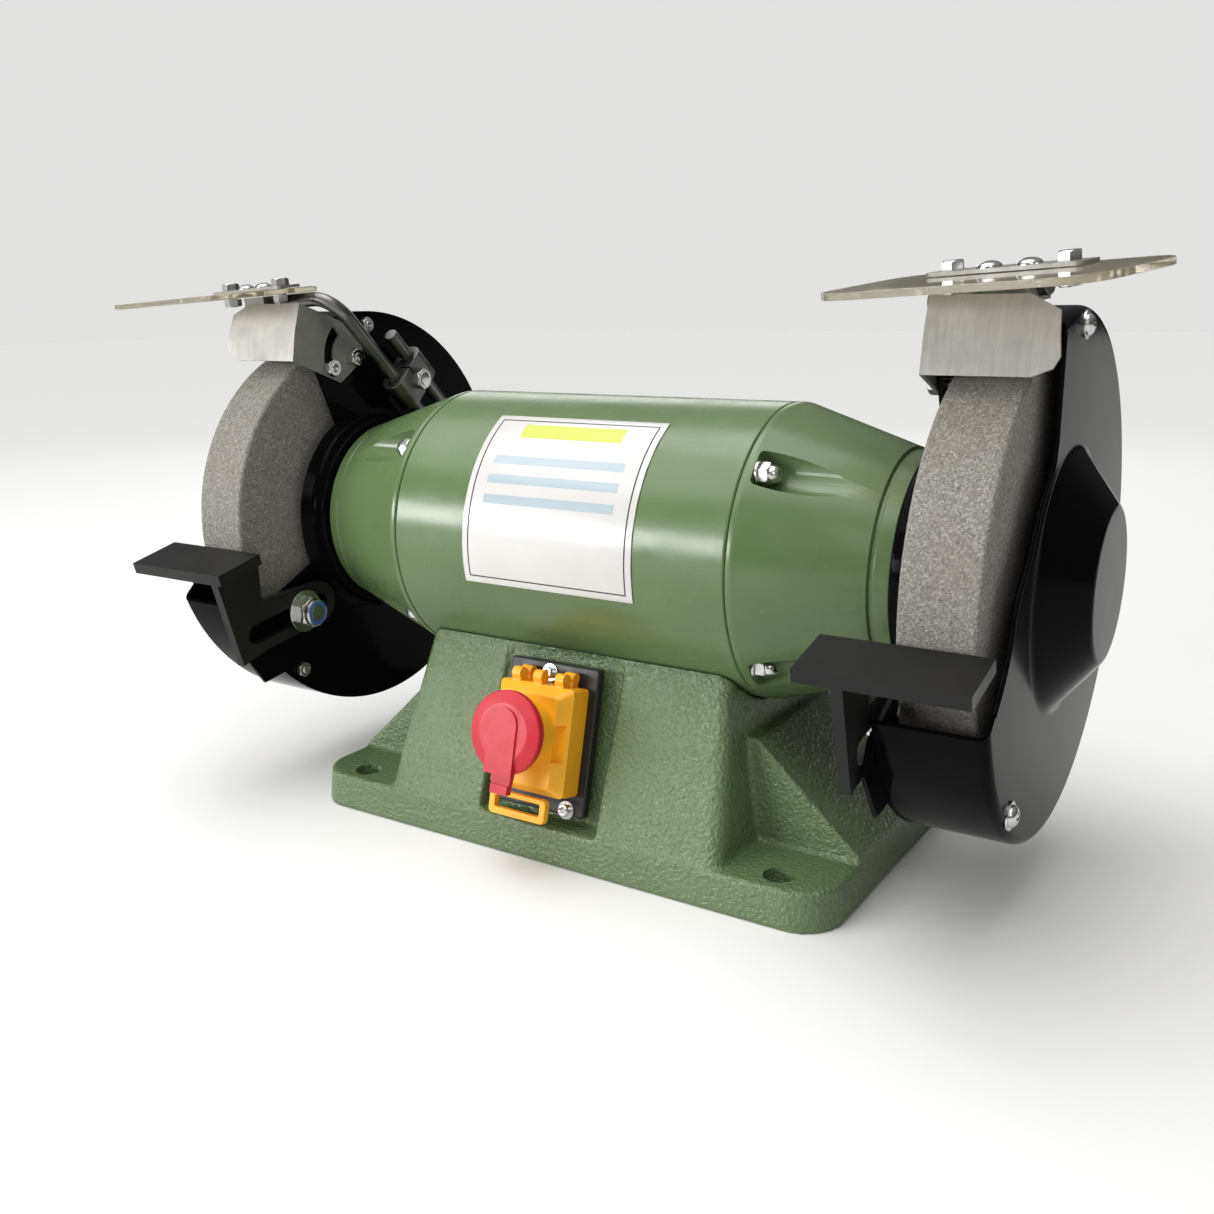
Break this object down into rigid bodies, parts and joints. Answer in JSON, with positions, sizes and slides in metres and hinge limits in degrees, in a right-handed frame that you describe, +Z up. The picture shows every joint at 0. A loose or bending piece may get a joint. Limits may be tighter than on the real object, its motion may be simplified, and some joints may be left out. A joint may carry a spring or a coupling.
{
  "type": "bench grinder",
  "caption": "Bench grinder: a motor on a cast base drives a guarded abrasive wheel at each end, with tool rests, spark deflectors, eye shields and a lidded switch.",
  "frame": {"origin": "middle of the underside of the base, on the bench surface, midway between the two wheels", "axes": "+X along the motor shaft to the right wheel, -Y towards the operator, +Z up"},
  "size_m": [0.5772, 0.2481, 0.2925],
  "materials": {
    "green_paint": "gloss paint on rolled steel",
    "green_cast_paint": "gloss paint on cast iron",
    "galvanised_sheet": "dull galvanised sheet",
    "capacitor_can": "drawn can",
    "black_plastic": "moulded",
    "stator_laminations": "stacked laminations",
    "copper_winding": "varnished copper wire",
    "machined_steel": "turned",
    "zinc_fastener": "zinc plated",
    "abrasive_wheel": "grey vitrified abrasive grain",
    "gloss_black_paint": "gloss",
    "satin_black_paint": "satin",
    "clear_sheet": "clear impact-resistant plastic sheet",
    "dark_steel": "drawn bar, oxide finish",
    "yellow_plastic": "moulded",
    "red_plastic": "moulded",
    "green_plastic": "moulded",
    "label_film": "film label, no lettering"
  },
  "bodies": {
    "frame": {"base_casting": "green_cast_paint", "base_cover": "galvanised_sheet", "cable_gland": "black_plastic", "capacitor": "capacitor_can", "left_bearing": "machined_steel", "left_deflector_lock_bolt": "zinc_fastener", "left_deflector_pivot_bolt": "zinc_fastener", "left_end_bell": "green_cast_paint", "left_inner_guard": "gloss_black_paint", "left_outer_cover": "gloss_black_paint", "left_rest_bolt": "zinc_fastener", "left_stator_winding": "copper_winding", "left_support_rod": "dark_steel", "motor_housing": "green_paint", "rating_label": "label_film", "right_bearing": "machined_steel", "right_deflector_lock_bolt": "zinc_fastener", "right_deflector_pivot_bolt": "zinc_fastener", "right_end_bell": "green_cast_paint", "right_inner_guard": "gloss_black_paint", "right_outer_cover": "gloss_black_paint", "right_rest_bolt": "zinc_fastener", "right_stator_winding": "copper_winding", "right_support_rod": "dark_steel", "stator_core": "stator_laminations", "switch_body": "yellow_plastic", "switch_plate": "black_plastic", "tie_bolt_back_bottom": "zinc_fastener", "tie_bolt_back_top": "zinc_fastener", "tie_bolt_front_bottom": "zinc_fastener", "tie_bolt_front_top": "zinc_fastener"},
    "rotor": {"left_inner_flange": "machined_steel", "left_outer_flange": "machined_steel", "left_wheel": "abrasive_wheel", "left_wheel_nut": "zinc_fastener", "right_inner_flange": "machined_steel", "right_outer_flange": "machined_steel", "right_wheel": "abrasive_wheel", "right_wheel_nut": "zinc_fastener", "rotor_core": "stator_laminations", "shaft": "machined_steel"},
    "left_rest": {"left_tool_rest": "satin_black_paint"},
    "left_deflector": {"left_spark_deflector": "galvanised_sheet"},
    "left_clamp": {"left_rod_clamp": "dark_steel"},
    "left_rod": {"left_shield_rod": "dark_steel"},
    "left_shield": {"left_eye_shield": "clear_sheet", "left_shield_clip": "galvanised_sheet"},
    "right_rest": {"right_tool_rest": "satin_black_paint"},
    "right_deflector": {"right_spark_deflector": "galvanised_sheet"},
    "right_clamp": {"right_rod_clamp": "dark_steel"},
    "right_rod": {"right_shield_rod": "dark_steel"},
    "right_shield": {"right_eye_shield": "clear_sheet", "right_shield_clip": "galvanised_sheet"},
    "lid": {"switch_lid": "yellow_plastic"},
    "paddle": {"stop_paddle": "red_plastic"},
    "bail": {"latch_bail": "yellow_plastic"},
    "start": {"start_button": "green_plastic"},
    "stop": {"stop_button": "red_plastic"}
  },
  "joints": [
    {"name": "rotor_spin", "type": "hinge", "parent": "frame", "child": "rotor", "pos_m": [0, 0, 0.154], "axis": [1, 0, 0], "continuous": true},
    {"name": "left_rest_slide", "type": "slide", "parent": "frame", "child": "left_rest", "axis": [0, -0.9871, -0.1601], "range_m": [-0.002, 0.012]},
    {"name": "right_rest_slide", "type": "slide", "parent": "frame", "child": "right_rest", "axis": [0, -0.9871, -0.1601], "range_m": [-0.002, 0.012]},
    {"name": "left_deflector_tilt", "type": "hinge", "parent": "frame", "child": "left_deflector", "pos_m": [-0.1775, -0.013, 0.245], "axis": [1, 0, 0], "range_deg": [0, 8]},
    {"name": "right_deflector_tilt", "type": "hinge", "parent": "frame", "child": "right_deflector", "pos_m": [0.1775, -0.013, 0.245], "axis": [1, 0, 0], "range_deg": [0, 8]},
    {"name": "left_clamp_slide", "type": "slide", "parent": "frame", "child": "left_clamp", "axis": [0, -0.7071, 0.7071], "range_m": [0, 0.015]},
    {"name": "left_rod_swivel", "type": "hinge", "parent": "left_clamp", "child": "left_rod", "pos_m": [-0.166, -0.03811, 0.2788], "axis": [0, 0.7071, -0.7071], "range_deg": [-2, 35]},
    {"name": "left_shield_tilt", "type": "hinge", "parent": "left_rod", "child": "left_shield", "pos_m": [-0.166, -0.03811, 0.2788], "axis": [-0.9857, 0.1632, -0.042], "range_deg": [-3, 30]},
    {"name": "right_clamp_slide", "type": "slide", "parent": "frame", "child": "right_clamp", "axis": [0, -0.7071, 0.7071], "range_m": [0, 0.015]},
    {"name": "right_rod_swivel", "type": "hinge", "parent": "right_clamp", "child": "right_rod", "pos_m": [0.166, -0.01282, 0.2767], "axis": [0, -0.7071, 0.7071], "range_deg": [-2, 35]},
    {"name": "right_shield_tilt", "type": "hinge", "parent": "right_rod", "child": "right_shield", "pos_m": [0.166, -0.01282, 0.2767], "axis": [-0.9559, 0.2904, -0.044], "range_deg": [-3, 30]},
    {"name": "lid_hinge", "type": "hinge", "parent": "frame", "child": "lid", "pos_m": [-0.0023, -0.07457, 0.09489], "axis": [-1, 0, 0], "range_deg": [0, 100]},
    {"name": "paddle_press", "type": "slide", "parent": "lid", "child": "paddle", "axis": [0, 0.9703, -0.2419], "range_m": [0, 0.0035], "stiffness_N_per_m": 800, "springref_m": -0.002},
    {"name": "bail_hinge", "type": "hinge", "parent": "lid", "child": "bail", "pos_m": [-0.0023, -0.09709, 0.03763], "axis": [-1, 0, 0], "range_deg": [0, 100]},
    {"name": "start_press", "type": "slide", "parent": "frame", "child": "start", "axis": [0, 0.9703, -0.2419], "range_m": [0, 0.002], "stiffness_N_per_m": 600, "springref_m": -0.002},
    {"name": "stop_press", "type": "slide", "parent": "frame", "child": "stop", "axis": [0, 0.9703, -0.2419], "range_m": [0, 0.002], "stiffness_N_per_m": 600, "springref_m": -0.002}
  ]
}
